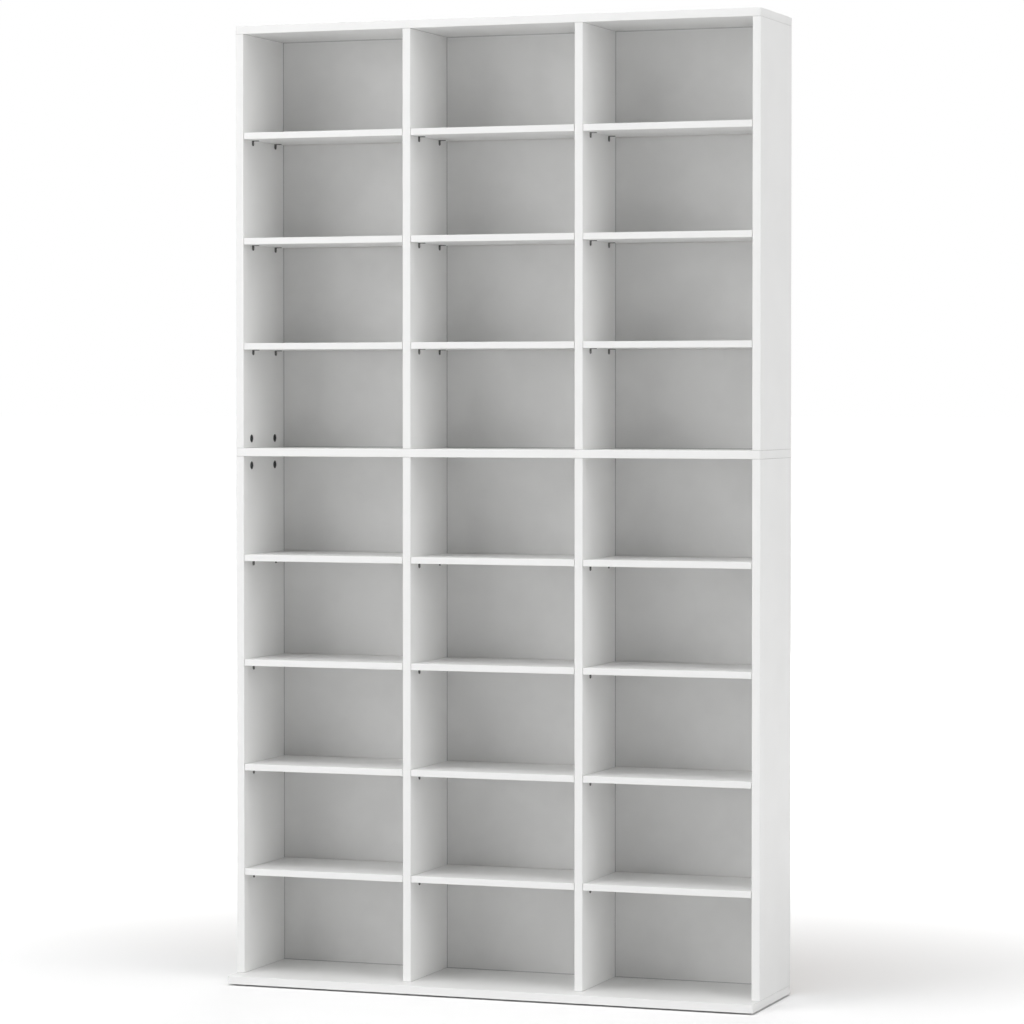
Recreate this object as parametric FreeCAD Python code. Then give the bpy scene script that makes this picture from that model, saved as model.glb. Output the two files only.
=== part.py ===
import FreeCAD, Part
import os

from FreeCAD import Placement, Rotation, Vector

# Media storage shelf: three columns and nine rows of open compartments, made of faced boards.
# All lengths are in millimetres. X runs along the width, Y from front to back, Z is up.
# The origin lies on the floor, under the middle of the width and of the whole depth.

# Carcass
carcass_width = 1010.0
carcass_depth = 200.0
base_overhang = 44.0
compartment_height = 182.5
lower_row_count = 5
upper_row_count = 4
column_names = ("left", "centre", "right")
upright_names = ("left_side", "left_divider", "right_divider", "right_side")

# Boards
board_thickness = 15.0
shelf_thickness = 12.0
board_edge_radius = 0.6
shelf_end_gap = 0.8
shelf_back_gap = 1.0

# Back panels in their grooves
panel_thickness = 3.0
panel_rear_inset = 10.0
groove_depth = 5.0
groove_play = 0.1
panel_end_play = 0.5

# Rows of fasteners, measured from the front and the rear edges of the boards
front_row_inset = 37.0
rear_row_inset = 55.0

# Clearance of every pin, bolt, dowel and screw in its bore, and how far a cut runs past a face
bore_play = 0.1
bore_end_play = 0.5
cut_overrun = 1.0

# Steel supports: a tab under the shelf, a leg on the wall and a pin in the upright.
# Their rows are measured from the same edges.
support_front_inset = 43.5
support_rear_inset = 51.5
support_width = 8.0
support_plate = 1.2
support_reach = 12.0
support_drop = 10.0
support_bend_radius = 1.0
support_corner_radius = 2.0
support_hole_diameter = 2.8
support_hole_inset = 3.6
support_pin_diameter = 5.0
support_pin_drop = 5.6
support_pin_gap = 1.0
support_rivet_diameter = 6.4
support_rivet_height = 0.5

# Cam locks and the double-ended bolts that join the halves through the middle board
cam_diameter = 15.0
cam_setback = 17.5
cam_skin = 2.5
cam_face_recess = 0.3
cam_slot_length = 9.0
cam_slot_width = 1.6
cam_slot_depth = 2.0
bolt_diameter = 6.0
bolt_neck_diameter = 3.6
bolt_head_diameter = 5.6
bolt_head_play = 0.3

# Wooden dowels
dowel_diameter = 8.0
dowel_bite = 18.0
dowel_skin = 5.0
dowel_chamfer = 1.0

# Screws through the top board and the base board into the uprights
screw_head_diameter = 10.0
screw_neck_diameter = 7.0
screw_core_diameter = 4.8
screw_bite = 33.0
screw_tip_length = 4.0
screw_socket_diameter = 4.2
screw_socket_depth = 3.0

# Plastic caps over the top screws
cap_diameter = 12.5
cap_height = 1.2
cap_edge_radius = 0.8
cap_plug_length = 2.4

# Glides nailed under the base board
glide_diameter = 22.0
glide_height = 3.0
glide_edge_radius = 1.0
glide_front_inset = 24.0
glide_rear_inset = 20.0
glide_side_inset = 25.0
glide_recess_depth = 1.4
nail_head_diameter = 6.0
nail_head_height = 0.8
nail_shank_diameter = 2.0
nail_bite = 10.0
nail_tip_length = 2.0

# Wall brackets on the rear of the top board
bracket_spacing = 800.0
bracket_width = 16.0
bracket_plate = 1.6
bracket_rise = 18.0
bracket_leg = 24.0
bracket_bend_radius = 1.2
bracket_corner_radius = 3.0
bracket_wall_hole_diameter = 4.5
bracket_wall_hole_height = 10.5
bracket_screw_inset = 8.0
bracket_screw_head_diameter = 7.0
bracket_screw_head_height = 2.2
bracket_screw_dome_radius = 1.2
bracket_screw_shank_diameter = 3.4
bracket_screw_bite = 10.0
bracket_screw_tip_length = 2.5
bracket_recess_length = 4.2
bracket_recess_width = 0.9
bracket_recess_depth = 1.0

# Places across the width
column_count = len(column_names)
upright_pitch = (carcass_width - board_thickness) / column_count
column_width = upright_pitch - board_thickness
left_face_x = -carcass_width / 2
upright_centres = [left_face_x + board_thickness / 2 + i * upright_pitch for i in range(column_count + 1)]

# Places from front to back
base_depth = carcass_depth + base_overhang
base_front_y = -base_depth / 2
front_y = base_front_y + base_overhang
rear_y = front_y + carcass_depth
panel_front_y = rear_y - panel_rear_inset - panel_thickness
row_places = (front_y + front_row_inset, rear_y - rear_row_inset)
support_places = (front_y + support_front_inset, rear_y - support_rear_inset)
dowel_y = sum(row_places) / len(row_places)

# Heights
lower_height = lower_row_count * compartment_height + (lower_row_count - 1) * shelf_thickness
upper_height = upper_row_count * compartment_height + (upper_row_count - 1) * shelf_thickness
base_bottom_z = glide_height
base_top_z = base_bottom_z + board_thickness
middle_bottom_z = base_top_z + lower_height
middle_top_z = middle_bottom_z + board_thickness
top_bottom_z = middle_top_z + upper_height
top_face_z = top_bottom_z + board_thickness
half_spans = {"lower": (base_top_z, middle_bottom_z), "upper": (middle_top_z, top_bottom_z)}

# Pieces whose size follows from the boards
support_pin_length = (board_thickness - support_pin_gap) / 2
cam_bore_depth = board_thickness - cam_skin
cam_height = cam_bore_depth - cam_face_recess - bore_play

UP = Vector(0, 0, 1)
DOWN = Vector(0, 0, -1)
FORWARD = Vector(0, -1, 0)


def block(low, size):
    """Plain box from its low corner and its three sizes."""
    return Part.makeBox(size[0], size[1], size[2], Vector(*low))


def board(low, size):
    """Board whose twelve edges are slightly rounded, as faced and edged boards are."""
    blank = block(low, size)
    return blank.makeFillet(board_edge_radius, blank.Edges)


def rod(diameter, length, foot, direction):
    """Round bar from the middle of its foot, along a direction."""
    return Part.makeCylinder(diameter / 2, length, foot, direction)


def bore(diameter, depth, mouth, inward):
    """Cutter for a round hole: it starts outside the face that holds the mouth."""
    return rod(diameter, depth + cut_overrun, mouth - inward * cut_overrun, inward)


def turned(outline, foot, direction):
    """Solid turned about its axis from (radius, height) points that start and end on the axis."""
    points = [Vector(radius, 0, height) for radius, height in outline]
    profile = Part.Face(Part.makePolygon(points + points[:1]))
    solid = profile.revolve(Vector(0, 0, 0), UP, 360)
    solid.Placement = Placement(foot, Rotation(UP, direction))
    return solid


def group(solids):
    """One node that holds several separate solids."""
    return Part.makeCompound(solids)


def edges_near(shape, points, reach):
    """Edges of a shape whose middle lies within reach of one of the points."""
    def middle(edge):
        return edge.valueAt((edge.FirstParameter + edge.LastParameter) / 2)
    return [edge for edge in shape.Edges if any(middle(edge).distanceToPoint(p) < reach for p in points)]


def shelf_levels(half):
    """Heights of the undersides of the loose shelves in one half, from the lowest up."""
    low, high = half_spans[half]
    pitch = compartment_height + shelf_thickness
    row_count = lower_row_count if half == "lower" else upper_row_count
    return [low + compartment_height + row * pitch for row in range(row_count - 1)]


# Back panels

def panel_slot(column, half, play, end_play):
    """Box of a back panel, grown by its play in the grooves."""
    low, high = half_spans[half]
    bite = groove_depth - panel_end_play + end_play
    corner = (upright_centres[column] + board_thickness / 2 - bite, panel_front_y - play, low - bite)
    return block(corner, (column_width + 2 * bite, panel_thickness + 2 * play, high - low + 2 * bite))


def back_panel(column, half):
    """Thin sheet that slides into the grooves behind one column."""
    return panel_slot(column, half, 0, 0)


def cut_grooves(shape, columns, halves):
    """Grooves for the back panels that reach into a board."""
    slots = [panel_slot(column, half, groove_play, panel_end_play) for column in columns for half in halves]
    return shape.cut(slots)


# Fasteners

def screw(head, direction):
    """Confirmat screw: its head lies flush, its neck fills the board and its core bites the upright."""
    head_radius = screw_head_diameter / 2
    neck_radius = screw_neck_diameter / 2 - bore_play
    core_radius = screw_core_diameter / 2 - bore_play
    socket_radius = screw_socket_diameter / 2
    cone = head_radius - neck_radius
    tip = board_thickness + screw_bite
    outline = [
        (0, screw_socket_depth),
        (socket_radius, screw_socket_depth),
        (socket_radius, 0),
        (head_radius - bore_play, 0),
        (neck_radius, cone),
        (neck_radius, board_thickness),
        (core_radius, board_thickness),
        (core_radius, tip - screw_tip_length),
        (0, tip),
    ]
    return turned(outline, head, direction)


def screw_clearance(head, direction):
    """Countersunk hole for a screw through a board."""
    head_radius = screw_head_diameter / 2
    neck_radius = screw_neck_diameter / 2
    outline = [
        (0, -cut_overrun),
        (head_radius, -cut_overrun),
        (head_radius, 0),
        (neck_radius, head_radius - neck_radius),
        (neck_radius, board_thickness + cut_overrun),
        (0, board_thickness + cut_overrun),
    ]
    return turned(outline, head, direction)


def screw_places(z):
    """Where the screws pass the face of a board at height z."""
    return [Vector(x, y, z) for x in upright_centres for y in row_places]


def dowel(foot, length):
    """Upright wooden dowel with chamfered ends."""
    radius = dowel_diameter / 2 - bore_play
    end_radius = radius - dowel_chamfer
    outline = [
        (0, 0),
        (end_radius, 0),
        (radius, dowel_chamfer),
        (radius, length - dowel_chamfer),
        (end_radius, length),
        (0, length),
    ]
    return turned(outline, foot, UP)


def wood_dowels():
    """Dowels of the base, middle and top joints. The middle ones pass right through the board."""
    outer_bite = board_thickness - dowel_skin
    outer_length = outer_bite + dowel_bite
    middle_length = board_thickness + 2 * dowel_bite
    dowels = []
    for x in upright_centres:
        dowels.append(dowel(Vector(x, dowel_y, base_top_z - outer_bite), outer_length))
        dowels.append(dowel(Vector(x, dowel_y, middle_bottom_z - dowel_bite), middle_length))
        dowels.append(dowel(Vector(x, dowel_y, top_bottom_z - dowel_bite), outer_length))
    return group(dowels)


def cam_side(index):
    """Way that the cams of an upright face: into the left column on the left side, else to the left."""
    return Vector(1, 0, 0) if index == 0 else Vector(-1, 0, 0)


def cam_lock(centre, facing, bolt_way):
    """Cam disc with a cross slot in its face and a port for the head of the bolt."""
    face = centre + facing * (board_thickness / 2 - cam_face_recess)
    disc = rod(cam_diameter - 2 * bore_play, cam_height, face, facing * -1)
    port_diameter = bolt_head_diameter + 2 * bolt_head_play
    port_foot = centre - bolt_way * (port_diameter / 2)
    port = rod(port_diameter, port_diameter / 2 + cam_diameter, port_foot, bolt_way)
    slots = []
    for long_y, long_z in ((cam_slot_length, cam_slot_width), (cam_slot_width, cam_slot_length)):
        size = Vector(2 * cam_slot_depth, long_y, long_z)
        slots.append(block(face - size / 2, size))
    return disc.cut([port] + slots)


def cam_bolt(x, y):
    """Bolt through the middle board, with a head in the cam above and in the cam below."""
    neck_radius = bolt_neck_diameter / 2
    half_length = board_thickness / 2 + cam_setback
    shoulder = half_length - cam_diameter / 2
    centre = Vector(x, y, middle_bottom_z + board_thickness / 2)
    bar = rod(bolt_diameter - 2 * bore_play, 2 * shoulder, centre - UP * shoulder, UP)
    neck = rod(2 * neck_radius, 2 * half_length, centre - UP * half_length, UP)
    head_radius = bolt_head_diameter / 2
    heads = [Part.makeSphere(head_radius, centre + UP * (side * half_length)) for side in (-1, 1)]
    return bar.fuse([neck] + heads)


def cam_centres(half):
    """Centre, facing and way to the bolt of every cam in one half."""
    z = middle_bottom_z - cam_setback if half == "lower" else middle_top_z + cam_setback
    bolt_way = UP if half == "lower" else DOWN
    places = []
    for index, x in enumerate(upright_centres):
        for y in row_places:
            places.append((Vector(x, y, z), cam_side(index), bolt_way))
    return places


def cam_locks(half):
    """All cams of one half."""
    return group([cam_lock(*place) for place in cam_centres(half)])


def cam_bolts():
    """All bolts through the middle board."""
    return group([cam_bolt(x, y) for x in upright_centres for y in row_places])


# Uprights: the sides and the dividers, each in a lower and an upper half

def support_bores(index, half):
    """Holes for the pins of the shelf supports; a divider is drilled right through."""
    x = upright_centres[index]
    cutters = []
    for level in shelf_levels(half):
        for y in support_places:
            z = level - support_pin_drop
            if index == 0:
                mouth, inward, depth = x + board_thickness / 2, -1, support_pin_length + bore_end_play
            elif index == column_count:
                mouth, inward, depth = x - board_thickness / 2, 1, support_pin_length + bore_end_play
            else:
                mouth, inward, depth = x - board_thickness / 2, 1, board_thickness + cut_overrun
            diameter = support_pin_diameter + 2 * bore_play
            cutters.append(bore(diameter, depth, Vector(mouth, y, z), Vector(inward, 0, 0)))
    return cutters


def cam_bores(index, half):
    """Bore for each cam, with the hole that the bolt comes in by."""
    cutters = []
    for centre, facing, bolt_way in cam_centres(half):
        if centre.x != upright_centres[index]:
            continue
        mouth = centre + facing * (board_thickness / 2)
        cutters.append(bore(cam_diameter, cam_bore_depth, mouth, facing * -1))
        cutters.append(bore(bolt_diameter, cam_setback, centre + bolt_way * cam_setback, bolt_way * -1))
    return cutters


def end_bores(index, half):
    """Screw and dowel holes in the two ends of an upright."""
    low, high = half_spans[half]
    screwed_z, screw_way = (low, UP) if half == "lower" else (high, DOWN)
    x = upright_centres[index]
    dowel_depth = dowel_bite + bore_end_play
    cutters = [bore(screw_core_diameter, screw_bite + bore_end_play, Vector(x, y, screwed_z), screw_way)
               for y in row_places]
    cutters.append(bore(dowel_diameter, dowel_depth, Vector(x, dowel_y, low), UP))
    cutters.append(bore(dowel_diameter, dowel_depth, Vector(x, dowel_y, high), DOWN))
    return cutters


def upright(index, half):
    """One half of a side or divider, with its grooves and holes."""
    low, high = half_spans[half]
    corner = (upright_centres[index] - board_thickness / 2, front_y, low)
    blank = board(corner, (board_thickness, carcass_depth, high - low))
    columns = [column for column in (index - 1, index) if 0 <= column < column_count]
    grooved = cut_grooves(blank, columns, [half])
    return grooved.cut(support_bores(index, half) + cam_bores(index, half) + end_bores(index, half))


# Full-width boards

def bracket_centres():
    """Places of the wall brackets along the width."""
    return (-bracket_spacing / 2, bracket_spacing / 2)


def bracket_screw_places():
    """Where the bracket screws enter the top board."""
    y = rear_y - bracket_leg + bracket_screw_inset
    return [Vector(x, y, top_face_z) for x in bracket_centres()]


def top_board():
    """Board over the uprights, with countersunk holes from above."""
    blank = board((left_face_x, front_y, top_bottom_z), (carcass_width, carcass_depth, board_thickness))
    cutters = [screw_clearance(place, DOWN) for place in screw_places(top_face_z)]
    dowel_depth = board_thickness - dowel_skin + bore_end_play
    for x in upright_centres:
        cutters.append(bore(dowel_diameter, dowel_depth, Vector(x, dowel_y, top_bottom_z), UP))
    pilot_depth = bracket_screw_bite + bore_end_play
    for place in bracket_screw_places():
        cutters.append(bore(bracket_screw_shank_diameter, pilot_depth, place, DOWN))
    return cut_grooves(blank, range(column_count), ["upper"]).cut(cutters)


def middle_board():
    """Fixed board between the halves; bolts and dowels pass through it."""
    blank = board((left_face_x, front_y, middle_bottom_z), (carcass_width, carcass_depth, board_thickness))
    through = board_thickness + cut_overrun
    cutters = []
    for x in upright_centres:
        cutters.append(bore(dowel_diameter, through, Vector(x, dowel_y, middle_bottom_z), UP))
        for y in row_places:
            cutters.append(bore(bolt_diameter, through, Vector(x, y, middle_bottom_z), UP))
    return cut_grooves(blank, range(column_count), ["lower", "upper"]).cut(cutters)


def glide_places():
    """Where the glides sit: near the ends and under the dividers, in a front and a rear row."""
    columns = [left_face_x + glide_side_inset] + upright_centres[1:-1] + [-left_face_x - glide_side_inset]
    rows = (base_front_y + glide_front_inset, rear_y - glide_rear_inset)
    return [Vector(x, y, base_bottom_z) for x in columns for y in rows]


def base_board():
    """Board under the uprights that stands out in front, with countersunk holes from below."""
    blank = board((left_face_x, base_front_y, base_bottom_z), (carcass_width, base_depth, board_thickness))
    cutters = [screw_clearance(place, UP) for place in screw_places(base_bottom_z)]
    dowel_depth = board_thickness - dowel_skin + bore_end_play
    for x in upright_centres:
        cutters.append(bore(dowel_diameter, dowel_depth, Vector(x, dowel_y, base_top_z), DOWN))
    nail_depth = nail_bite + bore_end_play
    for place in glide_places():
        cutters.append(bore(nail_shank_diameter + 2 * bore_play, nail_depth, place, UP))
    return cut_grooves(blank, range(column_count), ["lower"]).cut(cutters)


# Loose shelves and what carries them

def shelf(column, level):
    """Loose shelf: it lies on four supports and draws out at the front."""
    left = upright_centres[column] + board_thickness / 2 + shelf_end_gap
    size = (column_width - 2 * shelf_end_gap, panel_front_y - shelf_back_gap - front_y, shelf_thickness)
    return board((left, front_y, level), size)


def shelf_support():
    """Support for a wall that faces +X. The top of its tab is at height zero, the wall at zero."""
    half_width = support_width / 2
    round_z = half_width - support_drop
    corners = [Vector(0, -half_width, round_z), Vector(0, -half_width, 0),
               Vector(0, half_width, 0), Vector(0, half_width, round_z)]
    end = Part.Arc(corners[3], Vector(0, 0, -support_drop), corners[0]).toShape()
    leg_outline = Part.Wire([Part.makeLine(corners[i], corners[i + 1]) for i in range(3)] + [end])
    leg = Part.Face(leg_outline).extrude(Vector(support_plate, 0, 0))
    tab = block((0, -half_width, -support_plate), (support_reach, support_width, support_plate))
    tips = [Vector(support_reach, side * half_width, -support_plate / 2) for side in (-1, 1)]
    tab = tab.makeFillet(support_corner_radius, edges_near(tab, tips, support_plate / 4))
    plate = leg.fuse(tab).removeSplitter()
    plate = plate.makeFillet(support_bend_radius, edges_near(plate, [Vector(0, 0, 0)], support_plate / 4))
    hole_x = support_reach - support_hole_inset
    hole = bore(support_hole_diameter, support_plate + cut_overrun, Vector(hole_x, 0, 0), DOWN)
    pin = rod(support_pin_diameter, support_pin_length + support_plate / 2,
              Vector(-support_pin_length, 0, -support_pin_drop), Vector(1, 0, 0))
    rivet = rod(support_rivet_diameter, support_rivet_height + support_plate / 2,
                Vector(support_plate / 2, 0, -support_pin_drop), Vector(1, 0, 0))
    return plate.cut(hole).fuse([pin, rivet])


def shelf_supports(level):
    """Supports of all columns at one level, four under each shelf."""
    pattern = shelf_support()
    copies = []
    for column in range(column_count):
        left_wall = upright_centres[column] + board_thickness / 2
        for wall_x, turn in ((left_wall, 0), (left_wall + column_width, 180)):
            for y in support_places:
                copy = pattern.copy()
                copy.Placement = Placement(Vector(wall_x, y, level), Rotation(UP, turn))
                copies.append(copy)
    return group(copies)


# Small parts at the top and the base

def screw_cap(place):
    """Plastic cap over a top screw, with a plug that presses into its socket."""
    disc = rod(cap_diameter, cap_height, place, UP)
    rim = edges_near(disc, [place + UP * cap_height - Vector(cap_diameter / 2, 0, 0)], cap_height / 4)
    disc = disc.makeFillet(cap_edge_radius, rim)
    plug = rod(screw_socket_diameter - 2 * bore_play, cap_plug_length, place - UP * cap_plug_length, UP)
    return disc.fuse(plug)


def glide(place):
    """Plastic disc under the base board, with a recess for the head of its nail."""
    foot = place - UP * glide_height
    disc = rod(glide_diameter, glide_height, foot, UP)
    rim = edges_near(disc, [foot - Vector(glide_diameter / 2, 0, 0)], glide_height / 4)
    disc = disc.makeFillet(glide_edge_radius, rim)
    recess = bore(nail_head_diameter + 2 * bore_play, glide_recess_depth, foot, UP)
    hole = bore(nail_shank_diameter + 2 * bore_play, glide_height + cut_overrun, foot, UP)
    return disc.cut([recess, hole])


def glide_nail(place):
    """Nail whose head sits in the recess of a glide."""
    head_radius = nail_head_diameter / 2
    shank_radius = nail_shank_diameter / 2
    length = glide_height - glide_recess_depth + nail_bite
    outline = [
        (0, -nail_head_height),
        (head_radius, -nail_head_height),
        (head_radius, 0),
        (shank_radius, 0),
        (shank_radius, length - nail_tip_length),
        (0, length),
    ]
    return turned(outline, place - UP * (glide_height - glide_recess_depth), UP)


def wall_bracket(x):
    """Angle bracket: one leg screwed to the top board, the other flat against the wall."""
    half_width = bracket_width / 2
    leg_corner = (x - half_width, rear_y - bracket_leg, top_face_z)
    leg = block(leg_corner, (bracket_width, bracket_leg, bracket_plate))
    rise_corner = (x - half_width, rear_y - bracket_plate, top_face_z)
    rise = block(rise_corner, (bracket_width, bracket_plate, bracket_rise))
    plate = leg.fuse(rise).removeSplitter()
    bend = [Vector(x, rear_y, top_face_z)]
    corners = []
    for side in (-half_width, half_width):
        corners.append(Vector(x + side, rear_y - bracket_leg, top_face_z + bracket_plate / 2))
        corners.append(Vector(x + side, rear_y - bracket_plate / 2, top_face_z + bracket_rise))
    plate = plate.makeFillet(bracket_corner_radius, edges_near(plate, corners, bracket_plate / 4))
    plate = plate.makeFillet(bracket_bend_radius, edges_near(plate, bend, bracket_plate / 4))
    wall_mouth = Vector(x, rear_y, top_face_z + bracket_wall_hole_height)
    wall_hole = bore(bracket_wall_hole_diameter, bracket_plate + cut_overrun, wall_mouth, FORWARD)
    screw_mouth = Vector(x, rear_y - bracket_leg + bracket_screw_inset, top_face_z + bracket_plate)
    screw_hole_diameter = bracket_screw_shank_diameter + 2 * bore_play
    screw_hole = bore(screw_hole_diameter, bracket_plate + cut_overrun, screw_mouth, DOWN)
    return plate.cut([wall_hole, screw_hole])


def bracket_screw(place):
    """Dome-headed wood screw that holds a wall bracket down."""
    shank_radius = bracket_screw_shank_diameter / 2 - bore_play
    head_radius = bracket_screw_head_diameter / 2
    seat = place + UP * bracket_plate
    head = rod(bracket_screw_head_diameter, bracket_screw_head_height, seat, UP)
    top = seat + UP * bracket_screw_head_height
    rim = edges_near(head, [top - Vector(head_radius, 0, 0)], bracket_screw_head_height / 4)
    head = head.makeFillet(bracket_screw_dome_radius, rim)
    sides = (bracket_recess_length, bracket_recess_width)
    slots = []
    for long_x, long_y in (sides, sides[::-1]):
        size = Vector(long_x, long_y, 2 * bracket_recess_depth)
        slots.append(block(top - size / 2, size))
    length = bracket_plate + bracket_screw_bite
    outline = [
        (0, 0),
        (shank_radius, 0),
        (shank_radius, length - bracket_screw_tip_length),
        (0, length),
    ]
    return head.cut(slots).fuse(turned(outline, seat, DOWN))


def build_nodes():
    """Every node of the shelf by its name."""
    nodes = {"top_board": top_board(), "middle_board": middle_board(), "base_board": base_board()}
    for half in half_spans:
        for index, name in enumerate(upright_names):
            nodes[name + "_" + half] = upright(index, half)
        for column, name in enumerate(column_names):
            nodes["back_panel_" + name + "_" + half] = back_panel(column, half)
        nodes["cam_locks_" + half] = cam_locks(half)
    levels = shelf_levels("lower") + shelf_levels("upper")
    for number, level in enumerate(levels, 1):
        nodes["shelf_supports_" + str(number)] = shelf_supports(level)
        for column, name in enumerate(column_names):
            nodes["shelf_" + name + "_" + str(number)] = shelf(column, level)
    nodes["cam_bolts"] = cam_bolts()
    nodes["wood_dowels"] = wood_dowels()
    nodes["top_screws"] = group([screw(place, DOWN) for place in screw_places(top_face_z)])
    nodes["base_screws"] = group([screw(place, UP) for place in screw_places(base_bottom_z)])
    nodes["screw_caps"] = group([screw_cap(place) for place in screw_places(top_face_z)])
    nodes["glides"] = group([glide(place) for place in glide_places()])
    nodes["glide_nails"] = group([glide_nail(place) for place in glide_places()])
    nodes["wall_brackets"] = group([wall_bracket(x) for x in bracket_centres()])
    nodes["bracket_screws"] = group([bracket_screw(place) for place in bracket_screw_places()])
    return nodes


os.makedirs("parts", exist_ok=True)
for node, shape in build_nodes().items():
    shape.exportStep("parts/" + node + ".step")
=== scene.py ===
"""Looks of the media storage shelf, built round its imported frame: finishes, fittings, studio and camera.

All lengths are in metres, in the row frame: +X to the right, +Y to the back, +Z up, the floor at zero.
"""
import logging
import math
from collections.abc import Callable, Iterable, Sequence
from dataclasses import dataclass
from enum import Enum
from functools import partial, reduce

import bmesh
import bpy
from mathutils import Matrix, Vector


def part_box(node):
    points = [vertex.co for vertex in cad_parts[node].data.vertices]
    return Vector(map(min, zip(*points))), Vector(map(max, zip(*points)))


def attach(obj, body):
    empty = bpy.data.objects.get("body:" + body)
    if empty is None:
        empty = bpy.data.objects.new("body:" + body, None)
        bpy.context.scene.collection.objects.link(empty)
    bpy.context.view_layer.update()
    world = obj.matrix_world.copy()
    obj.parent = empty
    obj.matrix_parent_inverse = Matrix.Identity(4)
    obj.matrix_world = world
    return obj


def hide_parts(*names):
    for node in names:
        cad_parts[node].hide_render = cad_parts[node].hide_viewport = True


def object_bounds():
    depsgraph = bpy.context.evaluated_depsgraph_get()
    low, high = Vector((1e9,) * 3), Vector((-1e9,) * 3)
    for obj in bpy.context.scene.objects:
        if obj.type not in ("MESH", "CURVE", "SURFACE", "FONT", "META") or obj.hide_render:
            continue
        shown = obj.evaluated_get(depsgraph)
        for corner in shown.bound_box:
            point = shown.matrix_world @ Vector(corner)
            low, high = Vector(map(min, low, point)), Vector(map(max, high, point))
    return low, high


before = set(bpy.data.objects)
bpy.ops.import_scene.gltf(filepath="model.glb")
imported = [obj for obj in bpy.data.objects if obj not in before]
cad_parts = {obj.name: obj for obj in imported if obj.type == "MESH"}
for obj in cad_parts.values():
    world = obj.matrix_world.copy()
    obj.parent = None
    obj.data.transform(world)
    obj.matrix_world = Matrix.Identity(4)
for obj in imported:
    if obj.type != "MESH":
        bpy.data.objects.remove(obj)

cad_low, cad_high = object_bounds()
log = logging.getLogger("media_storage_shelf")

CARCASS = "carcass"
SHELF_COUNT = 7
# A length that counts as none, and how far the cutter of a hole reaches either way
HAIR = 1e-6
PIERCE_REACH = 0.004
# Edges that turn further than the first are broken, and those that turn less than the second shade smooth
SHARP_FROM = math.radians(50)
SMOOTH_UP_TO = math.radians(40)
UP = Vector((0, 0, 1))
RIGHT = Vector((1, 0, 0))
BACK = Vector((0, 1, 0))
# Fittings are modelled on a wall that faces right; half a turn about the vertical puts them on the other
FACING_RIGHT = Matrix.Identity(4)
FACING_LEFT = Matrix.Diagonal((-1, -1, 1, 1))
Socket = bpy.types.NodeSocket
Colour = tuple[float, float, float]


class Column(Enum):
    """The three columns of compartments, named as in the frame."""

    LEFT = "left"
    CENTRE = "centre"
    RIGHT = "right"


class Half(Enum):
    """The two halves of the carcass, below and above the middle board."""

    LOWER = "lower"
    UPPER = "upper"


class Upright(Enum):
    """Sides and dividers from left to right, named as in the frame."""

    LEFT_SIDE = "left_side"
    LEFT_DIVIDER = "left_divider"
    RIGHT_DIVIDER = "right_divider"
    RIGHT_SIDE = "right_side"


class Along(Enum):
    """Axis that a board's thickness lies along."""

    X = 0
    Z = 2


class Operation(Enum):
    """What a second shape does to the piece that it meets."""

    CUT = "DIFFERENCE"
    JOIN = "UNION"


# Modelling: the operators of edit mode and of the modifiers

def deselect_all() -> None:
    """Clear the selection, so that an operator acts on its own piece alone."""
    bpy.ops.object.select_all(action="DESELECT")


def make_active(piece: bpy.types.Object) -> None:
    """Select one piece and make it the active one.

    Args:
        piece: The piece that the next operators work on.
    """
    deselect_all()
    piece.select_set(True)
    bpy.context.view_layer.objects.active = piece


def start_from(primitive: Callable[..., set], name: str, **settings: object) -> bpy.types.Object:
    """Add a primitive as raw stock and move its place into its mesh.

    Args:
        primitive: One of the primitive operators.
        name: Name of the new piece.
        settings: Size, place and count of sides for the operator.

    Returns:
        The new piece, with its object at the origin.
    """
    deselect_all()
    primitive(**settings)
    piece = bpy.context.object
    piece.name = name
    bpy.ops.object.transform_apply(location=True, rotation=True, scale=True)
    return piece


def block(name: str, low: Vector, high: Vector) -> bpy.types.Object:
    """Plain box between its lowest and its highest corner, as raw stock or as a cutter."""
    add = bpy.ops.mesh.primitive_cube_add
    return start_from(add, name, size=1, location=(low + high) / 2, scale=high - low)


def rod(name: str, radius: float, foot: Vector, tip: Vector, sides: int) -> bpy.types.Object:
    """Round bar between two points, as raw stock or as a cutter.

    Args:
        name: Name of the new piece.
        radius: Half of its diameter.
        foot: Middle of one end.
        tip: Middle of the other end.
        sides: Number of flats round it.

    Returns:
        The bar, with its object at the origin.
    """
    way = tip - foot
    turn = way.to_track_quat("Z", "Y").to_euler()
    add = bpy.ops.mesh.primitive_cylinder_add
    return start_from(add, name, vertices=sides, radius=radius, depth=way.length, location=(foot + tip) / 2,
                      rotation=turn)


def modify(piece: bpy.types.Object, kind: str, **settings: object) -> None:
    """Apply one modifier to a piece.

    Args:
        piece: The piece.
        kind: Type name of the modifier.
        settings: Properties to set on it.
    """
    make_active(piece)
    tool = piece.modifiers.new(kind.lower(), kind)
    for key, value in settings.items():
        setattr(tool, key, value)
    bpy.ops.object.modifier_apply(modifier=tool.name)


def combine(piece: bpy.types.Object, other: bpy.types.Object, how: Operation) -> None:
    """Cut a shape out of a piece or join it on, and use the shape up."""
    modify(piece, "BOOLEAN", operation=how.value, solver="EXACT", object=other)
    bpy.data.objects.remove(other)


def pierce(piece: bpy.types.Object, radius: float, through: Vector, way: Vector, sides: int) -> None:
    """Cut a round hole right through a thin place of a piece, along a way."""
    reach = way * PIERCE_REACH
    combine(piece, rod("hole", radius, through - reach, through + reach, sides), Operation.CUT)


def thicken(piece: bpy.types.Object, thickness: float) -> None:
    """Give a bent sheet its thickness, inwards from its outer face."""
    modify(piece, "SOLIDIFY", thickness=thickness, offset=-1, use_even_offset=True)


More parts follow.
